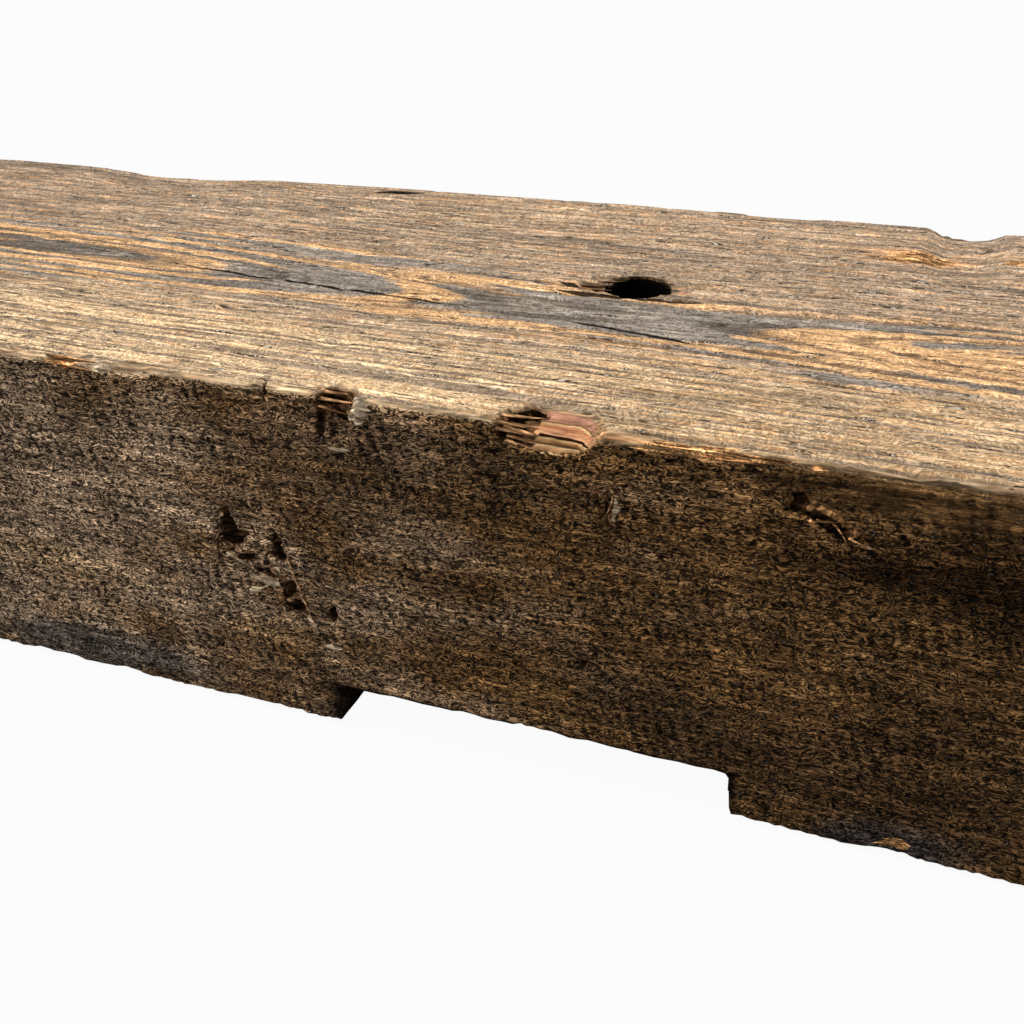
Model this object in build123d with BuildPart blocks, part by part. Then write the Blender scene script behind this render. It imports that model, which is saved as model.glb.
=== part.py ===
"""A reclaimed softwood beam, lying as it would on a floor.

One sawn timber that was once part of a frame. A housing runs across its underside, where a post
or joist sat, and a bolt hole is bored through the middle of that seat. The arrises are worn round,
and the front one is dented and has lost a chip, a splinter and a few hollows of wood.

The frame: +X along the grain, the front face towards -Y, +Z up, and the origin on the floor under
the middle of the timber. Lengths are in millimetres.
"""

import os
from math import atan2, cos, degrees, sin

from build123d import *

# The timber: a 10 by 6 inch section in a four foot length
beam_length = 1220.0
beam_width = 250.0
beam_height = 152.0

# Worn arrises along the grain, and the eased edges of the sawn ends
top_front_arris = 3.5
top_back_arris = 5.0
underside_front_arris = 5.0
underside_back_arris = 4.0
end_ease = 1.5

# The housing across the underside: its walls flare a little, and its mouth is worn round
housing_width = 160.0
housing_depth = 21.5
housing_centre_x = 110.0
housing_flare = 1.2
housing_mouth_wear = 4.0

# The bolt hole, bored down into the middle of the housing
bolt_hole_diameter = 27.0
bolt_hole_off_centre = 3.0
bolt_hole_from_front = 138.0

# The dent that something hard pressed into the front arris
dent_x = 44.0
dent_width = 18.0
dent_height = 20.0
dent_depth = 9.0

# The chip broken out of the front arris, and the splinter that ran on from it
chip_start_x = 104.0
chip_length = 38.0
chip_on_top = 16.0
chip_on_front = 11.0
splinter_length = 74.0

# The torn knot and the pick mark below it, two shallow dishes in the front face
knot_tear_diameter = 34.0
knot_tear_depth = 2.4
pick_mark_diameter = 17.0
pick_mark_depth = 1.8

# Cutters run past the timber by this much
overrun = 10.0

# The broken corner as a row of outlines: a place along the chip and a size, as shares of the chip
chip_outline_shares = ((0.00, 0.35), (0.30, 1.00), (0.78, 0.94), (1.00, 0.42))
splinter_outline_shares = (0.36, 0.06)
chip_overrun_share = 0.5

# Places of the dishes, as shares of half the length and of the height
knot_tear_shares = (-0.003, 0.540)
pick_mark_shares = (0.045, 0.250)

# Gouges in the front face: a place as shares of half the length and of the height, a length, a width
# and a depth as shares of the height, and how far the gouge falls for each unit that it runs
front_gouge_shares = (
    (-0.021, 0.556, 0.170, 0.062, 0.030, -8.0),
    (0.016, 0.556, 0.110, 0.044, 0.022, 3.5),
    (0.003, 0.424, 0.150, 0.026, 0.013, 0.0),
    (0.023, 0.396, 0.120, 0.036, 0.018, 2.2),
    (0.049, 0.368, 0.075, 0.028, 0.014, 9.0),
    (0.340, 0.900, 0.070, 0.040, 0.020, 0.2),
    (0.360, 0.856, 0.210, 0.034, 0.017, 0.58),
    (0.223, 0.372, 0.070, 0.018, 0.009, 0.0),
    (0.023, 0.970, 0.090, 0.022, 0.012, 12.0),
)

# Grain torn out at the mouth of the bolt hole, as shares of its diameter: a place along the grain
# and across it, then a length, a width and a depth
mouth_tear_shares = (
    (-0.50, -0.12, 1.00, 0.32, 0.14),
    (-0.42, 0.16, 0.80, 0.26, 0.11),
    (0.48, 0.02, 0.84, 0.50, 0.13),
)

# Hollows worn or torn into an arris: a place as a share of half the length, then a length and a
# depth as shares of the height
front_hollow_shares = ((-0.166, 0.34, 0.017), (-0.115, 0.24, 0.026), (-0.073, 0.17, 0.022))
back_hollow_shares = ((-0.336, 1.00, 0.024), (0.384, 0.22, 0.026))
underside_hollow_shares = ((0.409, 0.20, 0.022),)

half_length = beam_length / 2
half_width = beam_width / 2
front_y = -half_width
back_y = half_width
bolt_hole_x = housing_centre_x + bolt_hole_off_centre
bolt_hole_y = front_y + bolt_hole_from_front


def corner(sketch, across, up):
    """The vertex of the section that lies furthest across and up."""
    return sketch.vertices().sort_by(Axis((0, 0, 0), (across, up, 0)))[-1]


def arc_radius(chord, rise):
    """The radius of the arc that rises this far over this chord."""
    return (chord**2 / 4 + rise**2) / (2 * rise)


def gouge(plane, length, width, depth):
    """Takes a round-bottomed gouge along the X of a plane whose Y points into the wood."""
    reach = arc_radius(length, depth)
    with Locations(plane):
        with Locations((0, depth - reach, 0)):
            Torus(reach - width / 2, width / 2, mode=Mode.SUBTRACT)


def hollow_arris(shares, y, z, across):
    """Wears hollows into the arris at (y, z), each one flat in the direction across it."""
    for place, length_share, depth_share in shares:
        length, depth = length_share * beam_height, depth_share * beam_height
        reach = arc_radius(length, depth)
        with Locations(Plane((place * half_length, y, z), x_dir=(1, 0, 0), z_dir=across)):
            with Locations((0, depth - reach, 0)):
                Cylinder(reach, 2 * depth + overrun, mode=Mode.SUBTRACT)


def press_dish(place_shares, diameter, depth):
    """Takes a shallow dish out of the front face."""
    radius = arc_radius(diameter, depth)
    x, z = place_shares[0] * half_length, place_shares[1] * beam_height
    with Locations((x, front_y + depth - radius, z)):
        Sphere(radius, mode=Mode.SUBTRACT)


def broken_corner(place, share):
    """The outline, at a place along the chip, of what is broken off the front arris."""
    x = chip_start_x + place * chip_length
    on_top, on_front = share * chip_on_top, share * chip_on_front
    outer_y = front_y - chip_overrun_share * on_top
    upper_z = beam_height + chip_overrun_share * on_front
    inner_y = front_y + (1 + chip_overrun_share) * on_top
    lower_z = beam_height - (1 + chip_overrun_share) * on_front
    with BuildSketch(Plane.YZ.offset(x)) as outline:
        with BuildLine():
            Polyline((inner_y, upper_z), (outer_y, lower_z), (outer_y, upper_z), close=True)
        make_face()
    return outline.sketch


with BuildPart() as beam:
    # The sawn timber: a section with worn arrises, run along the grain and eased at its ends
    with BuildSketch(Plane.YZ) as section:
        with Locations((0, beam_height / 2)):
            Rectangle(beam_width, beam_height)
        fillet(corner(section, -1, 1), radius=top_front_arris)
        fillet(corner(section, 1, 1), radius=top_back_arris)
        fillet(corner(section, -1, -1), radius=underside_front_arris)
        fillet(corner(section, 1, -1), radius=underside_back_arris)
    extrude(amount=half_length, both=True)
    chamfer(beam.faces().filter_by(Axis.X).edges(), length=end_ease)

    # The housing: a flared trench right across the underside, with its mouth worn round
    with BuildSketch(Plane.XZ) as trench:
        with BuildLine():
            ceiling_left = (housing_centre_x - housing_width / 2, housing_depth)
            ceiling_right = (housing_centre_x + housing_width / 2, housing_depth)
            mouth_left = (ceiling_left[0] - housing_flare, 0)
            mouth_right = (ceiling_right[0] + housing_flare, 0)
            below_left = (mouth_left[0] - overrun, -overrun)
            below_right = (mouth_right[0] + overrun, -overrun)
            Polyline(
                below_left,
                (below_left[0], 0),
                mouth_left,
                ceiling_left,
                ceiling_right,
                mouth_right,
                (below_right[0], 0),
                below_right,
                close=True,
            )
        make_face()
        mouth_corners = trench.vertices().sort_by_distance((housing_centre_x, 0))[:4]
        fillet(mouth_corners.group_by(Axis.Y)[0], radius=housing_mouth_wear)
    extrude(amount=half_width + overrun, both=True, mode=Mode.SUBTRACT)

    # The bolt hole, and the grain torn out along its mouth
    with Locations((bolt_hole_x, bolt_hole_y, beam_height)):
        Hole(bolt_hole_diameter / 2)
    for tear_shares in mouth_tear_shares:
        along, across, length, width, depth = (share * bolt_hole_diameter for share in tear_shares)
        mouth = (bolt_hole_x + along, bolt_hole_y + across, beam_height)
        gouge(Plane(mouth, x_dir=(1, 0, 0), z_dir=(0, 1, 0)), length, width, depth)

    # The dent: a round trough that is deepest at the arris and runs out down the front
    dent_radius = arc_radius(dent_width, dent_depth)
    dent_lean = atan2(dent_depth, dent_height)
    dent_y = front_y + dent_depth - dent_radius * cos(dent_lean)
    dent_z = beam_height + dent_radius * sin(dent_lean)
    with Locations(Location((dent_x, dent_y, dent_z), (-degrees(dent_lean), 0, 0))):
        Cylinder(dent_radius, 4 * dent_height, mode=Mode.SUBTRACT)

    # The chip, broken out in facets, and the splinter that tapers away from its far end
    chip = [broken_corner(place, share) for place, share in chip_outline_shares]
    loft(chip, ruled=True, mode=Mode.SUBTRACT)
    splinter_place_shares = (1, 1 + splinter_length / chip_length)
    splinter_outlines = zip(splinter_place_shares, splinter_outline_shares)
    splinter = [broken_corner(place, share) for place, share in splinter_outlines]
    loft(splinter, mode=Mode.SUBTRACT)

    # Hollows in the arrises
    hollow_arris(front_hollow_shares, front_y, beam_height, across=(0, 1, 1))
    hollow_arris(back_hollow_shares, back_y, beam_height, across=(0, 1, -1))
    hollow_arris(underside_hollow_shares, front_y, 0, across=(0, -1, 1))

    # The marks on the front face
    press_dish(knot_tear_shares, knot_tear_diameter, knot_tear_depth)
    press_dish(pick_mark_shares, pick_mark_diameter, pick_mark_depth)
    for along, up, length, width, depth, fall in front_gouge_shares:
        place = (along * half_length, front_y, up * beam_height)
        mark = Plane(place, x_dir=(1, 0, -fall), z_dir=(fall, 0, 1))
        gouge(mark, length * beam_height, width * beam_height, depth * beam_height)

beam.part.label = "beam"
os.makedirs("parts", exist_ok=True)
export_step(beam.part, "parts/beam.step")
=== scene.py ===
# %% [markdown]
# # A reclaimed softwood beam
# The object is one old sawn timber: weathered on top, dark and rough from the saw on its sides,
# with a housing cut across its underside, a bolt hole, and an arris that has been knocked about.
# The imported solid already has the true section, housing, hole, chip and dent at their real sizes.
# This lesson keeps that body and gives it what years of weather, sawing and handling leave on wood.

from functools import reduce
from math import cos, pi, radians, sin

import bpy
import numpy as np
from mathutils import Matrix, Vector


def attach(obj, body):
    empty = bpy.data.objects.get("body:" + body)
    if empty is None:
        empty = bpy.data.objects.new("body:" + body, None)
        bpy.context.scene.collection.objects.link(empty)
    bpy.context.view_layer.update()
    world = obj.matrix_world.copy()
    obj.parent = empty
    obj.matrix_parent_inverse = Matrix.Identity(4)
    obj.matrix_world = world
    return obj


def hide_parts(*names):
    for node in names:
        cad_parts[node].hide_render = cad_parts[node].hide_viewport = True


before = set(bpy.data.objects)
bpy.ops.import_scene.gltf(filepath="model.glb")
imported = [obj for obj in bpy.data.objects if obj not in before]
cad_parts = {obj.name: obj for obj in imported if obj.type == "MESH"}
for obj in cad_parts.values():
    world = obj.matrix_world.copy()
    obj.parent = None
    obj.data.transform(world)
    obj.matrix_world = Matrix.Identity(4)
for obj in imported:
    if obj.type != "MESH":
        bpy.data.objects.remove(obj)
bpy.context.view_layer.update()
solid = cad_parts["beam"]
print("solid:", len(solid.data.polygons), "triangles")

# %% [markdown]
# ## Arithmetic with nodes
# The relief of the wood is made by geometry nodes, and its colour by shader nodes. Both need the
# same growth rings, saw marks and drying checks, so that a groove is dark exactly where it is deep.
# The patterns could be drawn twice by hand. Instead one small class wraps a socket of either kind
# of tree, so that a pattern is written once, as a formula in millimetres, and used in both.


# %% A socket with operators
class Field:
    """A socket of a node tree. Arithmetic with it adds Math nodes to the tree."""

    def __init__(self, tree, socket=None):
        self.tree = tree
        self.socket = socket

    def node(self, kind, settings=None, sockets=None, out=0):
        """Adds a node with these settings, fills its sockets, and gives one of its outputs."""
        made = self.tree.nodes.new(kind)
        for name, value in (settings or {}).items():
            setattr(made, name, value)
        for name, value in (sockets or {}).items():
            if isinstance(value, Field):
                self.tree.links.new(value.socket, made.inputs[name])
            else:
                made.inputs[name].default_value = value
        return Field(self.tree, made.outputs[out] if made.outputs else None)

    def maths(self, operation, *values):
        return self.node("ShaderNodeMath", {"operation": operation}, dict(enumerate(values)))

    def __add__(self, other):
        return self.maths("ADD", self, other)

    def __sub__(self, other):
        return self.maths("SUBTRACT", self, other)

    def __rsub__(self, other):
        return self.maths("SUBTRACT", other, self)

    def __mul__(self, other):
        return self.maths("MULTIPLY", self, other)

    def __truediv__(self, other):
        return self.maths("DIVIDE", self, other)

    def __rpow__(self, other):
        return self.maths("POWER", other, self)

    __radd__ = __add__
    __rmul__ = __mul__

    def size(self):
        return self.maths("ABSOLUTE", self)

    def root(self):
        return self.maths("SQRT", self)

    def least(self, other):
        return self.maths("MINIMUM", self, other)

    def most(self, other):
        return self.maths("MAXIMUM", self, other)

    def wave(self):
        """A wave from 0 to 1 that repeats once for each whole number."""
        return self.maths("COSINE", self * (2 * pi)) * 0.5 + 0.5

    def steps(self, height):
        """Terraces of this height."""
        return self.maths("SNAP", self, height)

    def rise(self, low, high):
        """A smooth step from 0 at low to 1 at high. It falls where low is above high."""
        sockets = {"Value": self, "From Min": low, "From Max": high}
        return self.node("ShaderNodeMapRange", {"interpolation_type": "SMOOTHSTEP"}, sockets)

    def split(self):
        """The three parts of a vector."""
        parts = self.node("ShaderNodeSeparateXYZ", sockets={0: self}).socket.node.outputs
        return [Field(self.tree, part) for part in parts]

    def join(self, y, z):
        return self.node("ShaderNodeCombineXYZ", sockets={0: self, 1: y, 2: z})

    def vector(self, operation, **sockets):
        named = {"b": 1, "by": "Scale"}
        sockets = {named[name]: value for name, value in sockets.items()}
        return self.node("ShaderNodeVectorMath", {"operation": operation}, {0: self, **sockets})

    def noise(self, sizes, seed, detail=2.0, rough=0.5, twist=0.0):
        """Cloudy noise from 0 to 1 around a half, with clouds of these sizes."""
        measured = self.vector("DIVIDE", b=sizes).vector("ADD", b=(seed, 1.3 * seed, 1.7 * seed))
        sockets = {"Scale": 1.0, "Detail": detail, "Roughness": rough, "Distortion": twist}
        return self.node("ShaderNodeTexNoise", sockets={"Vector": measured, **sockets})

    def between(self, first, second):
        """A colour that goes from the first to the second as this goes from 0 to 1."""
        # Sockets 6 and 7 and output 2 are the colours of this node
        sockets = {0: self, 6: first, 7: second}
        return self.node("ShaderNodeMix", {"data_type": "RGBA"}, sockets, out=2)

    def ramp(self, stops):
        """A colour read from a row of stops, each one a place from 0 to 1 and a colour."""
        made = self.node("ShaderNodeValToRGB", sockets={0: self})
        elements = made.socket.node.color_ramp.elements
        for number, (place, colour) in enumerate(stops):
            element = elements[number] if number < 2 else elements.new(place)
            element.position = place
            element.color = colour
        return made


def shade(red, green, blue, light=1.0):
    """A paint chart's colour, from 0 to 255, made linear and lighter or darker by a factor."""
    linear = []
    for value in (red / 255, green / 255, blue / 255):
        value = value / 12.92 if value <= 0.04045 else ((value + 0.055) / 1.055) ** 2.4
        linear.append(value * light)
    return (*linear, 1.0)


# %% [markdown]
# ## The patterns of the wood
# A softwood lays down a ring each year around its pith. Sawn flat, the rings show as straight lines
# near the edges of a face and as long pointed arches in its middle. Painted lines would not agree
# from face to face, so the rings are distances from a pith that wanders inside the timber.

# %% Growth rings
HALF_LENGTH, HALF_WIDTH, HEIGHT = 610.0, 125.0, 152.0
HOLE_X, HOLE_Y, HOLE_RADIUS = 113.0, 13.0, 13.5
HOUSING_X, HOUSING_HALF = 110.0, 80.0
RING = 3.4
PITH_ACROSS, PITH_UP, PITH_LEAN = -24.0, 119.0, 0.035
ARCH_LENGTH, ARCH_RISE = 300.0, 21.0


def pith_line(place):
    """The pith's place across and up, and how far the rings wander, at a place along the timber."""
    x = place.split()[0]
    along = x.join(0.0, 0.0)
    arch = (x - HOUSING_X).size().rise(0.0, ARCH_LENGTH)
    across = along.noise((420.0, 1.0, 1.0), 3.1, 1.0) * 16.0 + PITH_ACROSS - x * PITH_LEAN
    up = PITH_UP + arch * ARCH_RISE + along.noise((300.0, 1.0, 1.0), 8.7, 1.0) * 6.0
    wander = place.noise((140.0, 24.0, 24.0), 1.7) * 4.5 + place.noise((40.0, 7.0, 7.0), 5.2) * 1.6
    return across.join(up, wander)


def growth_rings(place, pith):
    """The number of the growth ring that a place lies in, counted from the pith."""
    y, z = place.split()[1:]
    across, up, wander = pith.split()
    across, up = y - across, z - up
    return ((across * across + up * up).root() + wander) / RING


def ring_lines(place, rings):
    """Noise that follows the rings: long lines about half a ring wide."""
    return place.split()[0].join(rings, 0.0).noise((260.0, 0.5, 1.0), 6.3, 1.0, 0.45)


def ring_bands(place, rings):
    """Noise that follows the rings: bands of two or three rings, each weathered its own way."""
    return place.split()[0].join(rings, 0.0).noise((240.0, 1.6, 1.0), 7.7, 2.0, 0.5)


# %% [markdown]
# A drying check is a crack along the grain that opens as the timber shrinks. Each one here is a
# line on a face with a width that tapers to nothing at both ends, and a wobble from the grain.

# %% Drying checks
TOP_CHECKS = (
    ((-128.0, -11.0), (72.0, -30.0), 0.75),
    ((88.0, -30.0), (160.0, -42.0), 0.80),
    ((-68.0, 112.0), (-32.0, 116.5), 1.50),
    ((78.0, 8.0), (104.0, 6.5), 1.00),
    ((80.0, -1.0), (116.0, -1.6), 1.40),
    ((108.0, -1.4), (148.0, 1.5), 1.30),
    ((-470.0, 30.0), (-290.0, 22.0), 0.80),
    ((330.0, -20.0), (560.0, -44.0), 0.80),
)


def check(along, across, start, end, width, wobble):
    """How deep in a check a place is: 0 outside its lips, 1 on its middle line."""
    lean = (end[1] - start[1]) / (end[0] - start[0])
    line = (along - start[0]) * lean + start[1] + wobble
    taper = 0.3 * (end[0] - start[0])
    opening = along.rise(start[0], start[0] + taper) * along.rise(end[0], end[0] - taper) * width
    return (across - line).size().rise(opening, 0.0)


def top_checks(place, widen):
    x, y, _ = place.split()
    wobble = (x.join(0.0, 0.0).noise((26.0, 1.0, 1.0), 4.4, 0.0) - 0.5) * 2.4
    depths = [check(x, y, start, end, width * widen, wobble) for start, end, width in TOP_CHECKS]
    return reduce(Field.most, depths)


# %% [markdown]
# ## Where a place is on the timber
# Weather reaches the top, the saw marks are on the sides, and fresh wood shows where a piece has
# broken out. Which of these a place is can be told from two facts about the plain solid: where the
# place is and which way its surface faces. Both are kept on the mesh before any relief is added.


# %% Which face a place is on
def faces_of(place, facing, ragged=0.0):
    """Shares of the top, the underside and the ends at a place."""
    x, _, z = place.split()
    up = facing.split()[2]
    end = x.size().rise(HALF_LENGTH - 4.0, HALF_LENGTH - 1.0)
    top = (up + ragged).rise(0.40, 0.70) * z.rise(HEIGHT - 4.5, HEIGHT - 2.5) * (1 - end)
    under = up.rise(-0.5, -0.8) * z.rise(12.0, 8.0)
    return top, under, end


def from_hole(place):
    """The distance from the bolt hole's wall, less than nothing inside it."""
    x, y, _ = place.split()
    across, along = y - HOLE_Y, x - HOLE_X
    return (across * across + along * along).root() - HOLE_RADIUS


def in_housing(place):
    """1 on the walls and the seat of the housing."""
    x, _, z = place.split()
    return (x - HOUSING_X).size().rise(HOUSING_HALF + 6.0, HOUSING_HALF + 1.0) * z.rise(24.0, 22.5)


def broken_depth(place):
    """Millimetres that a place lies inside the timber's sawn faces, clear of the joinery."""
    _, y, z = place.split()
    depth = (y + HALF_WIDTH).least(HEIGHT - z).least(HALF_WIDTH - y)
    return depth * z.rise(24.0, 32.0) * from_hole(place).rise(1.0, 6.0)


def patch(along, across, middle, reach, ragged=0.0, turn=0.0):
    """1 in the middle of an oval, turned anticlockwise by so many degrees, and 0 outside it."""
    u, v = along - middle[0], across - middle[1]
    if turn:
        cosine, sine = cos(radians(turn)), sin(radians(turn))
        u, v = u * cosine + v * sine, v * cosine - u * sine
    u, v = u / reach[0], v / reach[1]
    return ((u * u + v * v).root() + ragged).rise(1.0, 0.35)


# %% [markdown]
# Knocks leave dark pits, pale flakes and torn orange fibres. A few of the pits are painted shadows,
# and two of the flakes are partly painted highlights, where rims hide or catch the light. Each one
# is an oval on the front or on the top: its middle, its reach along and across, and the degrees
# that it is turned. Where ovals of a kind meet, the stronger one counts. The relief and the colour
# give them their ragged edges.

# %% Marks of knocks
# Painted shadows among these pits: the three in the dent, the two at the chip's left end and under
# its top edge, and the one at the scar's left end, where rims shade them.
FRONT_PITS_AND_SHADOWS = (
    ((-13.0, 86.0), (13.0, 3.6), 85),
    ((-11.0, 82.0), (9.0, 3.6), 25),
    ((-8.0, 74.0), (9.0, 2.4), 10),
    ((9.0, 84.0), (9.0, 3.4), 100),
    ((8.0, 78.5), (7.0, 2.6), 0),
    ((3.0, 69.0), (7.0, 2.2), -5),
    ((12.0, 62.0), (10.0, 3.2), 65),
    ((13.0, 56.0), (8.0, 3.0), 10),
    ((31.0, 56.5), (6.5, 2.2), 90),
    ((136.0, 57.0), (8.0, 1.7), 0),
    ((40.5, 148.6), (7.5, 3.6), -12),
    ((36.5, 141.0), (10.0, 2.8), 82),
    ((14.0, 149.5), (5.0, 2.0), 100),
    ((139.5, 127.0), (6.0, 1.8), 82),
    ((43.0, 143.0), (5.0, 2.0), -30),
    ((206.0, 137.0), (5.0, 3.4), 60),
    ((216.0, 130.4), (13.0, 1.9), -30),
    ((143.6, 122.0), (10.0, 1.4), 93),
    ((109.0, 146.5), (7.0, 5.5), 0),
    ((113.0, 150.0), (11.0, 1.6), -8),
)
# Partly painted highlights among these flakes: the one on the dent's right wall and the one at the
# scar's lower right end, which face the light.
FRONT_FLAKES_AND_HIGHLIGHTS = (
    ((3.0, 66.0), (7.0, 2.3), -15),
    ((-3.0, 61.0), (5.0, 1.9), 25),
    ((9.0, 71.0), (4.5, 1.7), -40),
    ((17.0, 68.0), (13.0, 1.2), -75),
    ((22.0, 50.0), (8.0, 1.1), -65),
    ((30.0, 40.0), (6.0, 1.6), 10),
    ((52.0, 147.0), (8.5, 6.0), 62),
    ((43.0, 131.6), (7.0, 1.4), 0),
    ((146.0, 124.0), (7.0, 1.0), 80),
    ((229.0, 124.3), (3.5, 0.9), -32),
    ((-57.0, 150.0), (8.0, 2.2), 0),
)
FRONT_TEARS = (
    ((217.0, 131.5), (15.0, 4.2), -30),
    ((249.5, 8.0), (8.0, 3.4), 5),
    ((-76.0, 149.8), (10.0, 2.4), 0),
    ((178.0, 149.5), (40.0, 2.6), 1),
)
TOP_PITS = (
    ((106.5, 27.0), (9.0, 3.6), -10),
    ((96.0, 9.5), (9.0, 3.4), -8),
    ((96.5, 2.5), (8.0, 2.2), 6),
    ((90.0, -4.5), (9.0, 1.4), 0),
    ((134.0, 2.0), (8.0, 2.0), 2),
    ((-50.0, 114.0), (17.0, 1.6), 6),
)
TOP_TEARS = (
    ((221.0, 80.0), (22.0, 10.0), 20),
    ((264.0, 84.0), (14.0, 5.0), 10),
    ((-69.0, -122.0), (13.0, 3.0), 0),
)


def largest(along, across, ovals, ragged):
    """The most that any of these ovals has at a place."""
    shares = [patch(along, across, oval[0], oval[1], ragged, oval[2]) for oval in ovals]
    return reduce(Field.most, shares)


def marks_of(place):
    """Shares of pits and painted shadows, of flakes and painted highlights, and of tears at a
    place.
    """
    x, y, z = place.split()
    ragged = (place.noise((9.0, 3.0, 3.0), 29.0) - 0.5) * 1.1
    front = y.rise(-102.0, -107.0) * (1 - z.rise(150.8, 151.6) * y.rise(-122.0, -119.0))
    top = z.rise(146.0, 148.0) * y.rise(-122.0, -119.0)
    pits = largest(x, z, FRONT_PITS_AND_SHADOWS, ragged) * front
    pits = pits.most(largest(x, y, TOP_PITS, ragged) * top)
    flakes = largest(x, z, FRONT_FLAKES_AND_HIGHLIGHTS, ragged) * front
    tears = largest(x, z, FRONT_TEARS, ragged) * front
    tears = tears.most(largest(x, y, TOP_TEARS, ragged) * top)
    return pits.join(flakes, tears)


# %% [markdown]
# ## The weathered body
# The solid is flat where the wood is not, so a copy of it is remeshed into small even cells that
# can carry relief. Geometry nodes then wear the surface down, and a Decimate modifier takes out the
# cells that the relief doesn't need.

# %% Copy the solid and divide it evenly
CELL = 0.0016
SAME_POINT = 1e-6


def choose(*pieces):
    """Selects these pieces and nothing else, and makes the last one active."""
    bpy.ops.object.select_all(action="DESELECT")
    for piece in pieces:
        piece.select_set(True)
    bpy.context.view_layer.objects.active = pieces[-1]


def apply_modifier(piece, kind, **settings):
    """Adds a modifier to the active piece, sets it up and applies it."""
    bpy.ops.object.modifier_add(type=kind)
    modifier = piece.modifiers[-1]
    for name, value in settings.items():
        setattr(modifier, name, value)
    bpy.ops.object.modifier_apply(modifier=modifier.name)


timber = bpy.data.objects.new("old_timber", solid.data.copy())
bpy.context.scene.collection.objects.link(timber)
choose(timber)
bpy.ops.object.mode_set(mode="EDIT")
bpy.ops.mesh.select_all(action="SELECT")
bpy.ops.mesh.remove_doubles(threshold=SAME_POINT)
bpy.ops.object.mode_set(mode="OBJECT")
apply_modifier(timber, "REMESH", mode="VOXEL", voxel_size=CELL)
print("even cells:", len(timber.data.polygons))

# %% [markdown]
# Broken wood has fibres that are thinner than those cells. The cells around the chip, the dent, the
# torn knot, the scar, the bolt hole and the worn arrises are divided again. The rest is left alone.

# %% Divide the broken places again
METRE = 1000.0  # in millimetres
BROKEN_BOXES = (
    ((98, -127, 134), (222, -104, 154)),
    ((30, -127, 128), (58, -108, 154)),
    ((-24, -127, 28), (40, -118, 102)),
    ((198, -127, 116), (238, -118, 144)),
    ((84, -14, 140), (152, 36, 154)),
    ((-125, -127, 140), (-28, -112, 154)),
    ((238, -127, -1), (262, -114, 16)),
)
count = len(timber.data.polygons)
middles = np.empty(3 * count)
timber.data.polygons.foreach_get("center", middles)
middles = middles.reshape(-1, 3) * METRE
chosen = np.zeros(count, bool)
for low, high in BROKEN_BOXES:
    chosen |= ((middles > low) & (middles < high)).all(axis=1)
bpy.ops.object.mode_set(mode="EDIT")
bpy.ops.mesh.select_mode(type="FACE")
bpy.ops.mesh.select_all(action="DESELECT")
bpy.ops.object.mode_set(mode="OBJECT")
timber.data.polygons.foreach_set("select", chosen)
bpy.ops.object.mode_set(mode="EDIT")
bpy.ops.mesh.subdivide(number_cuts=2)
bpy.ops.object.mode_set(mode="OBJECT")
print("fine cells:", len(timber.data.polygons), "after dividing", int(chosen.sum()))

# %% [markdown]
# The relief is one formula for how far each place moves along its surface. Soft early wood wears
# lower than the hard late wood, the saw left leaning ridges on the sides, and broken places are all
# loose fibres. Most of this is worn inwards, but a slow waviness goes both ways, and the back edge
# of the top stands up a little, apart from two dips.


# %% Relief of the weathered top
BACK_RISE = 2.8
LONG_DIP_X, LONG_DIP = -190.0, 2.8
SHORT_DIP_X, SHORT_DIP = 238.0, 4.0


def top_relief(place, rings):
    """Worn early wood, fibres, dashes and checks, on a top whose back edge rises."""
    x, y, _ = place.split()
    dips = (x - LONG_DIP_X).size().rise(70.0, 10.0) * LONG_DIP
    dips = dips + (x - SHORT_DIP_X).size().rise(20.0, 6.0) * SHORT_DIP
    crown = y.rise(20.0, HALF_WIDTH) * (BACK_RISE - dips)
    soft = ring_lines(place, rings).rise(0.46, 0.60) * -0.7
    fibres = (place.noise((34.0, 2.6, 2.6), 9.1) - 0.5) * 0.9
    dashes = place.noise((16.0, 3.4, 3.4), 12.2, 1.0).rise(0.62, 0.74) * -0.7
    return crown + soft + fibres + dashes + top_checks(place, 3.0) * -0.6


# %% Relief of the sawn sides
SAW_LEAN, SAW_STROKE = 0.30, 5.4


def saw_strokes(place):
    """Which stroke of the saw a place lies in, and how clearly the strokes show there."""
    x, _, z = place.split()
    wander = (place.noise((34.0, 34.0, 26.0), 14.0, 3.0) - 0.5) * 13.0
    lean = x - (HEIGHT - z) * SAW_LEAN + wander
    return lean / SAW_STROKE, place.noise((38.0, 38.0, 14.0), 15.0).rise(0.42, 0.68)


def saw_marks(stroke, clear):
    """The leaning marks of the saw, from 0 on a ridge to 1 in a groove."""
    return stroke.wave().rise(0.30, 0.95) * clear


def side_relief(place):
    """Saw marks, fibres and pits."""
    fibres = (place.noise((13.0, 3.0, 2.4), 16.0) - 0.5) * 1.2
    pits = place.noise((4.4, 4.4, 3.0), 17.0, 1.0).rise(0.58, 0.72) * -0.9
    return saw_marks(*saw_strokes(place)) * -0.6 + fibres + pits


# %% Relief of worn arrises and broken places
CHIP_HEIGHT = 11.0


def arris_wear(place, facing):
    """Nibbles along the arrises."""
    _, across, up = facing.split()
    edge = ((across * up).size() * 2.0).rise(0.15, 0.8)
    nibbles = place.noise((24.0, 30.0, 30.0), 19.0).rise(0.52, 0.74) * -1.6
    fine = (place.noise((7.0, 3.0, 3.0), 20.0) - 0.4) * -0.9
    return edge * (nibbles + fine)


def chip_steps(z):
    """The chip's height from its top edge to its lower edge, as shares."""
    return (HEIGHT - z) / CHIP_HEIGHT


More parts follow.
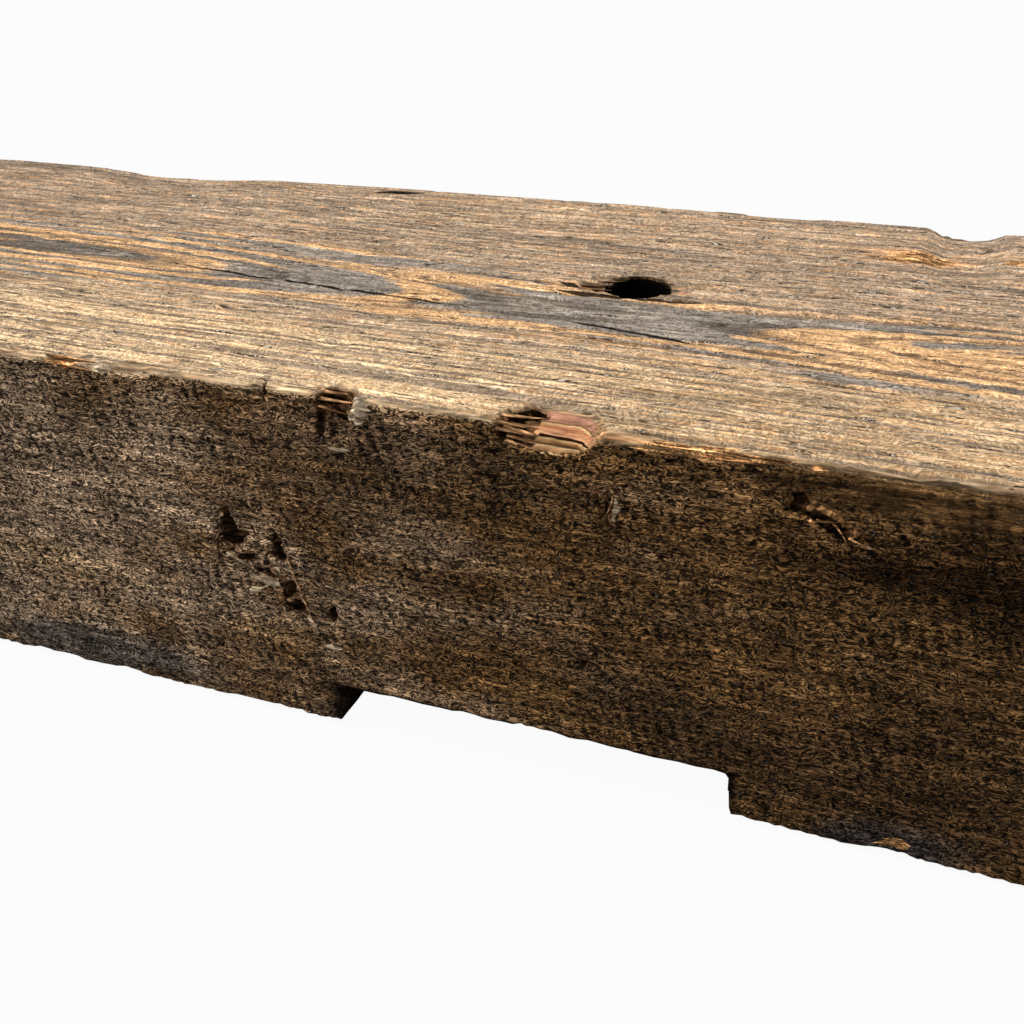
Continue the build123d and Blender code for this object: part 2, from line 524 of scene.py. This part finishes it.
def torn_relief(place):
    """Layers of fibres that broke off at different heights. The chip's far part is smooth steps."""
    x, _, z = place.split()
    layers = (place.noise((26.0, 3.2, 3.2), 18.0, 2.0) * 7.0).steps(0.9) - 3.2
    strands = (place.noise((14.0, 1.3, 1.3), 18.7, 1.0) - 0.5) * 1.6
    down = chip_steps(z)
    ridge = down.rise(0.28, 0.36) * down.rise(0.46, 0.42) * 1.0
    strips = ((down - 0.71) / 0.135).wave() * down.rise(0.58, 0.66) * 1.2
    smooth = x.rise(116.0, 120.0) * x.rise(146.0, 142.0)
    hollow = x.rise(119.0, 115.0) * x.rise(103.0, 106.0) * z.rise(139.0, 143.0) * -2.5
    return (layers + strands) * (1 - smooth * 0.75) + (ridge + strips) * smooth + hollow


def relief(place, facing, pith, marks):
    """Millimetres that a place moves out along its normal."""
    top, under, end = faces_of(place, facing)
    pits, flakes, tears = marks.split()
    side = (1 - top) * (1 - under) * (1 - end)
    broken = broken_depth(place).rise(1.3, 2.4)
    slow = (place.noise((230.0, 90.0, 60.0), 2.0, 1.0) - 0.5) * 4.4 * (1 - under) * (1 - end)
    sawn = side_relief(place)
    plain = under * (sawn * 0.5 - 0.5) + end * (sawn * 0.5 - 0.3)
    wood = top * top_relief(place, growth_rings(place, pith)) + side * sawn + plain
    clear = from_hole(place).rise(0.5, 3.0) * 0.9 + 0.1
    knocks = flakes * 0.5 - pits * 2.2 + tears * (place.noise((12.0, 1.6, 1.6), 18.2) - 0.8) * 2.4
    outer = slow + wood * (1 - broken) + torn_relief(place) * broken + knocks
    return (outer * (1 - in_housing(place) * 0.7) + arris_wear(place, facing)) * clear


# %% [markdown]
# ## Stains
# Broad colours change slowly over the timber: brown at the back of the top, tan along its front,
# orange where it was rubbed, blue-black along the damp lower edges. They are worked out once for
# each point of the mesh and kept there as an attribute, which spares the renderer.

# %% Colours of the stains
SIDE_LIGHT = 1.70
SIDE_GROUND, TOP_GROUND = (84, 61, 36), (170, 146, 121)
TOP_STAINS = (
    ((0.0, -105.0), (900.0, 66.0), (218, 186, 146), 1.0),
    ((250.0, -100.0), (190.0, 60.0), (186, 156, 120), 0.9),
    ((221.0, 80.0), (26.0, 11.0), (208, 150, 98), 0.9),
    ((-330.0, 40.0), (200.0, 60.0), (160, 134, 110), 0.7),
    ((40.0, 84.0), (150.0, 44.0), (186, 158, 128), 0.8),
)
SIDE_STAINS = (
    ((-330.0, 80.0), (520.0, 160.0), (122, 102, 82), 1.0),
    ((-100.0, 56.0), (70.0, 10.0), (140, 116, 88), 0.7),
    ((15.0, 41.0), (50.0, 8.0), (128, 100, 68), 0.6),
    ((2.0, 83.0), (10.0, 11.0), (128, 104, 80), 1.0),
    ((28.0, 38.0), (10.0, 8.0), (140, 116, 90), 0.8),
    ((60.0, 122.0), (90.0, 30.0), (70, 52, 34), 0.5),
    ((262.0, 116.0), (70.0, 26.0), (38, 24, 11), 1.0),
    ((144.0, 108.0), (6.0, 34.0), (44, 30, 16), 0.6),
    ((104.0, 118.0), (7.0, 28.0), (50, 36, 21), 0.5),
    ((230.0, 36.0), (120.0, 46.0), (54, 38, 23), 0.7),
    ((-95.0, 14.0), (70.0, 17.0), (72, 66, 60), 0.9),
    ((250.0, 6.0), (40.0, 14.0), (48, 46, 46), 0.8),
)


def stained(along, across, ground, stains, light, ragged):
    """A ground colour with oval stains on it."""
    colour = shade(*ground, light)
    for middle, reach, stain, strength in stains:
        share = patch(along, across, middle, reach, ragged) * strength
        colour = share.between(colour, shade(*stain, light))
    return colour


def broad_colour(place, facing):
    """The stained top and sides, with upright streaks on the sides and a plain underside."""
    x, y, z = place.split()
    top, under, _ = faces_of(place, facing)
    ragged = (place.noise((50.0, 24.0, 20.0), 23.0) - 0.5) * 1.2
    over = stained(x, y, TOP_GROUND, TOP_STAINS, 1.0, ragged)
    side = stained(x, z, SIDE_GROUND, SIDE_STAINS, SIDE_LIGHT, ragged)
    side = under.between(side, shade(*SIDE_GROUND, SIDE_LIGHT))
    upright = (place.noise((15.0, 60.0, 110.0), 30.0, 2.0) - 0.5) * 2.2
    return top.between(side.vector("SCALE", by=2.0**upright), over)


# %% [markdown]
# Three more slow patterns are kept the same way: how clearly the rings show as bands, whether those
# bands lean to orange or to grey, and how fresh the wood is where it is broken.

# %% Bands and fresh wood
BAND_ZONES = (
    ((-160.0, -8.0), (330.0, 52.0), 1.0),
    ((230.0, -30.0), (230.0, 44.0), 1.0),
    ((100.0, -24.0), (120.0, 34.0), 0.9),
)
ORANGE_ZONES = (
    ((222.0, -34.0), (100.0, 20.0), 0.12),
    ((114.0, -24.0), (66.0, 22.0), -0.20),
)
FRESH_ZONES = (
    ((125.0, 148.0), (34.0, 20.0), 1.0),
    ((180.0, 150.0), (60.0, 8.0), 0.9),
    ((40.0, 149.0), (9.0, 9.0), 0.5),
)


def summed(along, across, zones, ragged):
    """What these zones come to at a place, each one an oval with a strength."""
    return sum(
        patch(along, across, middle, reach, ragged) * strength for middle, reach, strength in zones
    )


def wear_of(place):
    """How banded, how orange and how fresh the wood is at a place."""
    x, y, z = place.split()
    ragged = (place.noise((70.0, 14.0, 14.0), 27.0) - 0.5) * 1.2
    banded = (summed(x, y, BAND_ZONES, ragged) * 1.6).least(1.0)
    return banded.join(summed(x, y, ORANGE_ZONES, ragged), summed(x, z, FRESH_ZONES, 0.0))


# %% [markdown]
# ## Putting the formulas to work
# The same formulas could be run over the points in Python, but nodes do it faster and have
# Blender's own noise. Each tree is applied as a modifier. The patterns are kept first, while the
# surface is still as the saw left it, and the relief is made after that.

# %% Trees of geometry nodes
def node_group(name, build):
    """A tree of geometry nodes that changes a mesh by the place and facing of each point."""
    group = bpy.data.node_groups.new(name, "GeometryNodeTree")
    group.interface.new_socket("Geometry", in_out="INPUT", socket_type="NodeSocketGeometry")
    group.interface.new_socket("Geometry", in_out="OUTPUT", socket_type="NodeSocketGeometry")
    start = Field(group)
    facing = start.node("GeometryNodeInputNormal")
    place = start.node("GeometryNodeInputPosition").vector("SCALE", by=METRE)
    mesh = build(start.node("NodeGroupInput"), place, facing)
    start.node("NodeGroupOutput", sockets={0: mesh})
    print(name, "made with", len(group.nodes), "nodes")
    return group


def apply_groups(piece, *groups):
    """Runs a piece's mesh through trees of nodes, and keeps the result."""
    choose(piece)
    for group in groups:
        apply_modifier(piece, "NODES", node_group=group)


def keep(mesh, name, value, kind="FLOAT_VECTOR"):
    """Stores a value at each point of a mesh under a name."""
    settings = {"data_type": kind, "domain": "POINT"}
    sockets = {"Geometry": mesh, "Name": name, "Value": value}
    return mesh.node("GeometryNodeStoreNamedAttribute", settings, sockets)


# %% Keep the patterns on the mesh
def keep_marks(mesh, place, facing):
    return keep(mesh, "marks", marks_of(place))


def keep_patterns(mesh, place, facing):
    stroke, clear = saw_strokes(place)
    mesh = keep(mesh, "sawn_place", place)
    mesh = keep(mesh, "sawn_facing", facing)
    mesh = keep(mesh, "pith", pith_line(place))
    mesh = keep(mesh, "wear", wear_of(place))
    mesh = keep(mesh, "saw", stroke.join(clear, broken_depth(place)))
    return keep(mesh, "stain", broad_colour(place, facing), "FLOAT_COLOR")


marking = node_group("kept_marks", keep_marks)
patterning = node_group("kept_patterns", keep_patterns)
apply_groups(timber, marking, patterning)


# %% Wear the surface down
MM = 0.001  # in metres


def wear_down(mesh, place, facing):
    settings, sockets = {"data_type": "FLOAT_VECTOR"}, {"Name": "marks"}
    marks = mesh.node("GeometryNodeInputNamedAttribute", settings, sockets)
    shift = facing.vector("SCALE", by=relief(place, facing, pith_line(place), marks) * MM)
    return mesh.node("GeometryNodeSetPosition", sockets={"Geometry": mesh, "Offset": shift})


apply_groups(timber, node_group("weather_and_saw", wear_down))

# %% [markdown]
# The relief now has far more cells than it needs. Larger cells from the start would have blurred
# it, so the surplus is taken out here, and flat places give up their cells before rough ones do.

# %% Thin the mesh
TRIANGLES = 184_000


def triangles_of(piece):
    return sum(len(face.vertices) - 2 for face in piece.data.polygons)


apply_modifier(timber, "DECIMATE", ratio=TRIANGLES / triangles_of(timber))
bpy.ops.object.shade_smooth()
print("timber:", triangles_of(timber), "triangles")

# %% [markdown]
# ## Slivers
# Where wood tears, some fibres stay behind as loose slivers. A sliver is thin, pointed and a little
# crooked, which relief can't give, so one is modelled from a six-sided cone that is divided and
# roughened. Every other sliver is a copy of it with its own length, width, bend and direction.

# %% One sliver
bpy.ops.object.select_all(action="DESELECT")
bpy.ops.mesh.primitive_cone_add(
    vertices=6, radius1=0.5, radius2=0.10, depth=1.0, rotation=(0, pi / 2, 0)
)
sliver = bpy.context.object
sliver.name = "sliver"
bpy.ops.object.transform_apply(location=False, rotation=True, scale=False)
bpy.ops.object.mode_set(mode="EDIT")
bpy.ops.mesh.select_all(action="SELECT")
bpy.ops.mesh.subdivide(number_cuts=3, fractal=0.5, seed=4)
bpy.ops.transform.translate(value=(0.5, 0.0, 0.0))
bpy.ops.object.mode_set(mode="OBJECT")
print("sliver:", len(sliver.data.vertices), "points")

# %% [markdown]
# Each row is a sliver's root, its tip, its width, its thickness, how far it bends up and how fresh
# its wood is. They fill the near end of the chip, the dent and the torn mouth of the bolt hole, and
# a few strips still hang along the arris, on the scar and around the torn knot.

# %% Copy it to the torn places
SLIVERS = (
    ((103.0, -123.0, 150.2), (117.5, -121.5, 147.6), 2.2, 1.2, 0.05, 0.6),
    ((103.5, -119.0, 151.0), (119.0, -115.0, 148.2), 2.4, 1.2, 0.08, 1.0),
    ((103.0, -123.5, 148.0), (113.5, -122.5, 145.8), 1.8, 1.2, 0.05, 0.7),
    ((106.0, -121.0, 147.5), (122.5, -118.5, 142.8), 2.6, 1.4, 0.10, 0.8),
    ((107.0, -118.0, 147.5), (124.0, -116.5, 145.0), 2.4, 1.3, 0.10, 0.5),
    ((108.0, -122.5, 145.5), (121.5, -122.0, 141.6), 2.6, 1.4, 0.12, 0.4),
    ((107.5, -123.0, 143.8), (119.5, -123.5, 141.4), 2.4, 1.4, -0.08, 0.7),
    ((109.0, -124.0, 141.6), (123.0, -124.4, 140.8), 1.8, 1.2, 0.04, 0.9),
    ((120.0, -123.8, 141.2), (140.0, -124.2, 142.2), 1.8, 1.4, -0.02, 1.0),
    ((35.0, -122.5, 149.4), (48.0, -119.0, 146.4), 2.6, 1.3, 0.06, 1.0),
    ((37.0, -120.0, 150.8), (48.0, -117.0, 148.8), 2.4, 1.2, 0.08, 0.6),
    ((36.0, -123.0, 146.6), (46.5, -120.5, 142.4), 2.2, 1.2, 0.05, 0.4),
    ((88.0, 8.0, 150.6), (103.0, 9.5, 150.0), 2.2, 1.6, 0.04, 0.4),
    ((89.0, 11.5, 150.8), (103.5, 15.0, 150.2), 2.2, 1.6, 0.04, 0.3),
    ((87.0, 4.0, 150.6), (102.0, 3.0, 149.6), 2.0, 1.4, 0.03, 0.3),
    ((92.0, 15.0, 151.0), (106.0, 22.0, 150.6), 2.0, 1.4, 0.02, 0.3),
    ((140.0, 4.0, 150.8), (125.0, 6.5, 149.8), 2.2, 1.6, 0.03, 0.3),
    ((139.0, 12.0, 150.8), (124.5, 12.0, 149.6), 2.4, 1.6, 0.03, 0.3),
    ((137.0, 18.0, 150.8), (123.0, 19.5, 150.0), 2.0, 1.4, 0.02, 0.9),
    ((142.0, -120.6, 149.6), (216.0, -124.0, 150.6), 2.0, 1.3, 0.004, 1.0),
    ((143.0, -123.6, 147.4), (196.0, -124.8, 148.8), 1.8, 1.2, -0.004, 1.0),
    ((150.0, -122.4, 148.8), (172.0, -123.2, 149.4), 1.5, 1.2, 0.010, 0.8),
    ((176.0, -123.6, 149.6), (214.0, -124.6, 149.0), 1.6, 1.2, 0.006, 0.7),
    ((222.5, -124.6, 127.6), (230.0, -125.0, 123.6), 1.2, 0.8, 0.22, 0.6),
    ((217.0, -124.6, 132.2), (223.0, -125.0, 127.0), 1.2, 0.8, -0.20, 0.5),
    ((212.0, -124.4, 132.0), (219.0, -124.8, 131.4), 1.2, 0.8, 0.18, 1.0),
    ((146.0, -125.0, 129.0), (144.4, -125.2, 121.0), 1.4, 0.9, 0.15, 0.9),
    ((148.5, -125.0, 126.0), (146.5, -125.2, 119.5), 1.3, 0.9, 0.20, 1.1),
    ((-4.0, -124.0, 68.0), (7.0, -124.8, 63.0), 2.4, 0.9, 0.12, 1.1),
    ((-2.0, -124.0, 61.5), (8.0, -124.8, 66.0), 2.0, 0.9, 0.12, 1.1),
    ((6.0, -123.8, 73.0), (13.0, -124.8, 67.0), 1.8, 0.8, 0.15, 0.3),
    ((-14.0, -123.6, 76.0), (-4.0, -124.2, 70.5), 2.0, 1.0, 0.12, 1.1),
    ((14.5, -124.8, 79.0), (23.5, -124.8, 47.0), 1.0, 0.8, 0.00, 0.8),
    ((242.0, -124.0, 6.0), (256.0, -124.6, 9.0), 2.4, 1.4, 0.05, 0.8),
    ((-84.0, -121.6, 151.0), (-58.0, -122.4, 150.4), 2.0, 1.2, 0.02, 0.7),
    ((-78.0, -124.0, 148.6), (-62.0, -124.4, 148.0), 1.6, 1.0, 0.02, 0.8),
)

points = len(sliver.data.vertices)
straight = np.empty(3 * points)
sliver.data.vertices.foreach_get("co", straight)
copies = []
for root, tip, width, thickness, bend, _ in SLIVERS:
    piece = bpy.data.objects.new("sliver_copy", sliver.data.copy())
    bpy.context.scene.collection.objects.link(piece)
    run = Vector(tip) - Vector(root)
    bent = straight.reshape(-1, 3).copy()
    bent *= (run.length, width, thickness)
    bent[:, 2] += bend * bent[:, 0] ** 2 / run.length
    piece.data.vertices.foreach_set("co", bent.ravel())
    turn = run.to_track_quat("X", "Z").to_matrix().to_4x4()
    piece.data.transform(Matrix.Scale(MM, 4) @ Matrix.Translation(root) @ turn)
    copies.append(piece)
choose(*copies)
bpy.ops.object.join()
slivers = bpy.context.object
slivers.name = "slivers"
bpy.data.objects.remove(sliver)
bpy.ops.object.shade_smooth()
print("slivers:", len(SLIVERS), "with", len(slivers.data.polygons), "faces")

# %% [markdown]
# The slivers get the same kept patterns as the timber, but they are all broken wood, each as fresh
# as its row says, and the freshest ones are pale flakes. Then they are joined to the timber, so
# that it stays one piece.

# %% Join the slivers to the timber
BROKEN_DEPTH, FLAKE_FRESHNESS = 4.0, 1.05

apply_groups(slivers, marking, patterning)
# The points of the active copy, which was the last one, come first in the joined mesh
freshness = np.repeat(np.roll([row[-1] for row in SLIVERS], 1), points)
changes = (
    ("wear", 2, freshness),
    ("saw", 2, BROKEN_DEPTH),
    ("marks", 0, 0.0),
    ("marks", 1, freshness > FLAKE_FRESHNESS),
)
for name, axis, values in changes:
    vectors = np.empty(3 * len(freshness), np.float32)
    slivers.data.attributes[name].data.foreach_get("vector", vectors)
    vectors = vectors.reshape(-1, 3)
    vectors[:, axis] = values
    slivers.data.attributes[name].data.foreach_set("vector", vectors.ravel())
choose(slivers, timber)
bpy.ops.object.join()
print("timber with slivers:", triangles_of(timber), "triangles")

# %% [markdown]
# ## The colour of old wood
# Weathered softwood is grey where rain has washed the early wood and orange-tan where fibres have
# been rubbed or torn. The sawn sides are dark, and darker still in the pits between their fibres.
# Light and dark are worked out as steps of doubling, as a photographer counts them, because pits
# and fibres differ by factors and not by amounts.

# %% Read the kept patterns
finish = bpy.data.materials.new("weathered_softwood")
finish.use_nodes = True
tree = finish.node_tree
tree.nodes.clear()
start = Field(tree)


def kept_on_mesh(name, out="Vector"):
    return start.node("ShaderNodeAttribute", {"attribute_name": name}, out=out)


place = kept_on_mesh("sawn_place")
facing = kept_on_mesh("sawn_facing")
stain = kept_on_mesh("stain", "Color")
banded, orange, fresh = kept_on_mesh("wear").split()
pit_and_shade_mark, flake_and_highlight_mark, tear_mark = kept_on_mesh("marks").split()
stroke, clear, depth = kept_on_mesh("saw").split()
x, y, z = place.split()
rings = growth_rings(place, kept_on_mesh("pith"))

# %% [markdown]
# The noises that follow are the fibres, from fine curls to long streaks. Two places have smoother
# wood: the rubbed arrises of the top, and a planed patch high up on the sides.

# %% Fibres and pits
PLANED_MIDDLE, PLANED_REACH = (262.0, 146.0), (90.0, 17.0)

level = faces_of(place, facing)[0]
grain = (x * (0.080 - 0.050 * level)).join(y / 2.0, z / 1.2)
fine = place.noise((5.0, 3.6, 2.1), 21.0, 1.0, 0.5, 0.9)
worms = (fine * 6.0).wave()
long = grain.noise((1.0, 1.0, 1.0), 22.0, 2.0, 0.6)
streak = place.noise((60.0, 8.0, 3.4), 28.0, 1.0)
torn = place.noise((14.0, 1.4, 1.4), 26.0, 2.0)
top, _, end = faces_of(place, facing, (long - 0.5) * 0.5)
columns = saw_marks(stroke, clear) * (1 - top) * (1 - end)
hollows = (x * (0.45 - 0.34 * top)).join(y / 1.2, z / 1.3).noise((1.0, 1.0, 1.0), 25.0, 1.0)
dark_pit = (hollows + columns * 0.07).rise(0.585 + 0.05 * top, 0.635 + 0.04 * top)
checks = (top_checks(place, 1.7) * 2.0).least(1.0) * top
rubbed = facing.split()[2].rise(0.985, 0.80) * top
planed = patch(x, z, PLANED_MIDDLE, PLANED_REACH)

# %% [markdown]
# The top has weathered in bands that follow the rings, some orange and some grey, with thin dark
# lines between them. Outside the banded places the stain shows, with orange flecks in it.

# %% Colours of the top
GREY, ORANGE, LINE = shade(142, 131, 119), shade(214, 169, 122), shade(134, 118, 102)
FLECK = shade(208, 154, 102)

lines = ring_lines(place, rings)
band_colour = (ring_bands(place, rings) - orange).rise(0.475, 0.52).between(ORANGE, GREY)
line_share = lines.rise(0.50, 0.58) * (0.80 - banded * 0.40) * (1 - rubbed * 0.8)
flecked = (hollows.rise(0.44, 0.38) * 0.5).between(stain, FLECK)
top_colour = line_share.between(banded.between(flecked, band_colour), LINE)

# %% Light and dark
TOP_BASE, SIDE_BASE = 0.24, -0.85
PALE_SPECK = shade(226, 214, 198)

top_light = TOP_BASE + (worms - 0.5) * 1.2 * (1 - rubbed)
top_light = top_light + ((torn - 0.58) * 7.0).least(0.1) * rubbed
top_light = top_light + (long - 0.5) * 3.4 + (fine - 0.5) * 1.2 + (streak - 0.5) * 1.2
top_light = top_light - dark_pit * 2.0 - checks * 4.0 - lines.rise(0.54, 0.62) * banded * 0.7
sawn_fibres = (worms - 0.5) * (4.0 - planed * 2.8) + (torn - 0.5) * planed * 6.0
sawn_fibres = sawn_fibres + (long - 0.5) * 4.6 + (streak - 0.5) * 2.8
sawn_fibres = sawn_fibres - dark_pit * (2.4 - planed * 1.2)
side_light = SIDE_BASE + sawn_fibres * (1 - end * 0.65) - columns * 0.6
side_light = side_light + (lines - 0.46) * end * 7.0
light = top * top_light + (1 - top) * side_light
colour = top.between(stain, top_colour).vector("SCALE", by=2.0**light)
speck = hollows.rise(0.70, 0.73) * worms.rise(0.3, 0.8) * (0.1 + 0.9 * top) * (1 - rubbed)
colour = speck.between(colour, PALE_SPECK)

# %% [markdown]
# ## Fresh wood, knocks and painted shade in the hole and housing
# Wood that broke lately is pale orange, and an old break has gone brown. The far part of the chip
# split along its rings, so its colours are a ramp of steps from the top edge down.

# %% Broken wood
FRESH, OLD_BREAK = shade(226, 172, 122), shade(74, 49, 30)
# The darkest stops are painted shade in the grooves between the chip's strips, and the palest ones
# painted highlights on the upper edges of its ridges; the others are the colours of the split wood.
CHIP_STOPS_LIT_AND_SHADED = (
    (0.00, shade(184, 136, 112)),
    (0.34, shade(198, 142, 114)),
    (0.37, shade(110, 68, 42)),
    (0.40, shade(238, 200, 142)),
    (0.44, shade(190, 128, 92)),
    (0.60, shade(220, 164, 122)),
    (0.62, shade(36, 19, 10)),
    (0.66, shade(30, 16, 8)),
    (0.68, shade(232, 188, 132)),
    (0.75, shade(140, 96, 60)),
    (0.78, shade(30, 16, 8)),
    (0.82, shade(240, 198, 142)),
    (0.89, shade(150, 104, 66)),
    (0.92, shade(30, 16, 8)),
    (0.95, shade(244, 206, 150)),
    (1.00, shade(130, 92, 60)),
)

broken = depth.rise(0.9, 2.0) * fresh.rise(0.05, 0.4)
break_colour = fresh.rise(0.0, 1.0).between(OLD_BREAK, FRESH)
break_colour = break_colour.vector("SCALE", by=2.0 ** ((torn - 0.58) * 9.0))
colour = broken.between(colour, break_colour)
far_part = x.rise(117.0, 119.0) * x.rise(138.5, 136.5) * broken
# The ramp carries painted shade and highlights along with the wood's colours.
steps = (chip_steps(z) + (torn - 0.5) * 0.10).ramp(CHIP_STOPS_LIT_AND_SHADED)
steps = steps.vector("SCALE", by=2.0 ** ((torn - 0.5) * 3.0 + (fine - 0.5) * 1.5))
colour = far_part.between(colour, steps)

# %% [markdown]
# The marks of knocks were kept as soft ovals. Fibres decide here how far each one spreads, so that
# none of them ends in a smooth curve. Pits come last, because they cut through the rest.

# %% Tears, flakes and pits, with painted highlights and shade
TEAR, FLAKE_AND_HIGHLIGHT, PIT_DIRT_AND_SHADE = shade(164, 122, 80), shade(170, 150, 124), shade(96, 68, 44)


def spread(mark, tint, light, ragged):
    """Spreads a tint, lighter or darker by steps of doubling, inside a mark's ragged edge."""
    sockets = {0: tint[:3], "Scale": 2.0**light}
    tinted = mark.node("ShaderNodeVectorMath", {"operation": "SCALE"}, sockets)
    edge = (torn - 0.5) * ragged * mark.rise(0.0, 0.3)
    return (mark + edge).rise(0.46, 0.58).between(colour, tinted)


colour = spread(tear_mark, TEAR, (torn - 0.54) * 12.0 + (worms - 0.4) * 2.0, 2.0)
# Crushed fibres, and partly painted highlight where the flakes on the dent's wall and the scar's
# end face the light.
colour = spread(flake_and_highlight_mark, FLAKE_AND_HIGHLIGHT, (torn - 0.5) * 8.0 + (worms - 0.8) * 0.8, 1.0)
# Painted shade as well as dirt: a pit gets darker towards its middle, where a hollow lies deepest
# in shadow.
colour = spread(pit_and_shade_mark, PIT_DIRT_AND_SHADE, (torn - 0.54) * 16.0 + worms - pit_and_shade_mark * 2.6, 2.0)

# %% [markdown]
# Painted shade darkens the inside of the bolt hole and the walls and seat of the housing. Shadow
# alone would leave them too light.

# %% Painted shade in the hole and the housing
HOLE_PAINTED_SHADE, HOUSING_PAINTED_SHADE = 0.985, 0.85

# Painted shade: the inside of the hole below its rim is made nearly black.
inside = from_hole(place).rise(1.2, 0.4) * z.rise(151.4, 150.2)
colour = colour.vector("SCALE", by=1 - inside * HOLE_PAINTED_SHADE)
# Painted shade on the walls and seat of the housing.
colour = colour.vector("SCALE", by=1 - in_housing(place) * HOUSING_PAINTED_SHADE)

# %% [markdown]
# Fibres thinner than the mesh's cells are a bump. Old wood is dull, so it hardly shines.

# %% The finished wood
FIBRE_HEIGHT = 1.1

height = (long - 0.5) * FIBRE_HEIGHT
bump = start.node("ShaderNodeBump", sockets={"Strength": 1.0, "Distance": MM, "Height": height})
shader = start.node(
    "ShaderNodeBsdfPrincipled",
    sockets={
        "Base Color": colour,
        "Roughness": 0.72 + long * 0.2,
        "Normal": bump,
        "Specular IOR Level": 0.04,
    },
)
start.node("ShaderNodeOutputMaterial", sockets={"Surface": shader})
timber.data.materials.clear()
timber.data.materials.append(finish)
print("material nodes:", len(tree.nodes))

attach(timber, "root")
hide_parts("beam")

# %% [markdown]
# ## Floor, light and camera
# The beam lies on a plain pale floor under soft light from above and the left, as the shadows in
# its dents show. The floor and the sky are white only to the camera. To the wood the floor is grey
# and the sky is dimmer, so that the shadows stay.

# %% The floor
WHITE, GREY_PAPER = (1.0, 1.0, 1.0, 1.0), (0.5, 0.5, 0.5, 1.0)
WHITENESS = 0.95

bpy.ops.object.select_all(action="DESELECT")
bpy.ops.mesh.primitive_plane_add(size=16.0)
floor = bpy.context.object
floor.name = "floor"
paper = bpy.data.materials.new("white_paper")
paper.use_nodes = True
paper.node_tree.nodes.clear()
start = Field(paper.node_tree)
rays = start.node("ShaderNodeLightPath", out="Is Camera Ray")
matt = start.node("ShaderNodeBsdfDiffuse", sockets={"Color": GREY_PAPER})
white = start.node("ShaderNodeEmission", sockets={"Color": WHITE, "Strength": 1.0})
mixed = start.node("ShaderNodeMixShader", sockets={0: rays * WHITENESS, 1: matt, 2: white})
start.node("ShaderNodeOutputMaterial", sockets={"Surface": mixed})
floor.data.materials.append(paper)

# %% The sky and the lamp
SKY_STRENGTH, LAMP_STRENGTH, LAMP_SPREAD = 0.40, 2.4, 20
LAMP_SIDE = Vector((-0.55, -0.22, 0.82))

world = bpy.data.worlds.new("soft_sky")
bpy.context.scene.world = world
world.use_nodes = True
world.node_tree.nodes.clear()
start = Field(world.node_tree)
rays = start.node("ShaderNodeLightPath", out="Is Camera Ray")
sky = start.node("ShaderNodeBackground", sockets={"Color": WHITE, "Strength": SKY_STRENGTH})
white = start.node("ShaderNodeBackground", sockets={"Color": WHITE, "Strength": 1.0})
mixed = start.node("ShaderNodeMixShader", sockets={0: rays, 1: sky, 2: white})
start.node("ShaderNodeOutputWorld", sockets={"Surface": mixed})

bpy.ops.object.light_add(type="SUN", location=(-1.0, -0.4, 2.0))
lamp = bpy.context.object
lamp.name = "soft_lamp"
lamp.data.energy = LAMP_STRENGTH
lamp.data.angle = radians(LAMP_SPREAD)
lamp.rotation_euler = LAMP_SIDE.to_track_quat("Z", "Y").to_euler()

# %% [markdown]
# The camera stands where the timber's edges, its housing and its hole line up as they are seen.
# Its aim is built from three angles, because it is turned a little about its own line of sight.

# %% The camera
YAW, PITCH, ROLL = radians(22.70), radians(29.60), radians(-2.23)
CAMERA_PLACE = (0.2519, -0.4653, 0.3266)
LENS, SENSOR, FAR_CLIP = 43.15, 36.0, 100.0

level = Vector((cos(YAW), sin(YAW), 0.0))
ahead = Vector((-sin(YAW), cos(YAW), 0.0))
skyward = Vector((0.0, 0.0, 1.0))
view = ahead * cos(PITCH) - skyward * sin(PITCH)
upright = ahead * sin(PITCH) + skyward * cos(PITCH)
right = level * cos(ROLL) + upright * sin(ROLL)
over = upright * cos(ROLL) - level * sin(ROLL)
bpy.ops.object.camera_add()
camera = bpy.context.object
turn = Matrix((right, over, -view)).transposed().to_4x4()
camera.matrix_world = Matrix.Translation(CAMERA_PLACE) @ turn
camera.data.lens = LENS
camera.data.sensor_width = SENSOR
camera.data.clip_end = FAR_CLIP
bpy.context.scene.camera = camera
bpy.context.scene.view_settings.view_transform = "Standard"
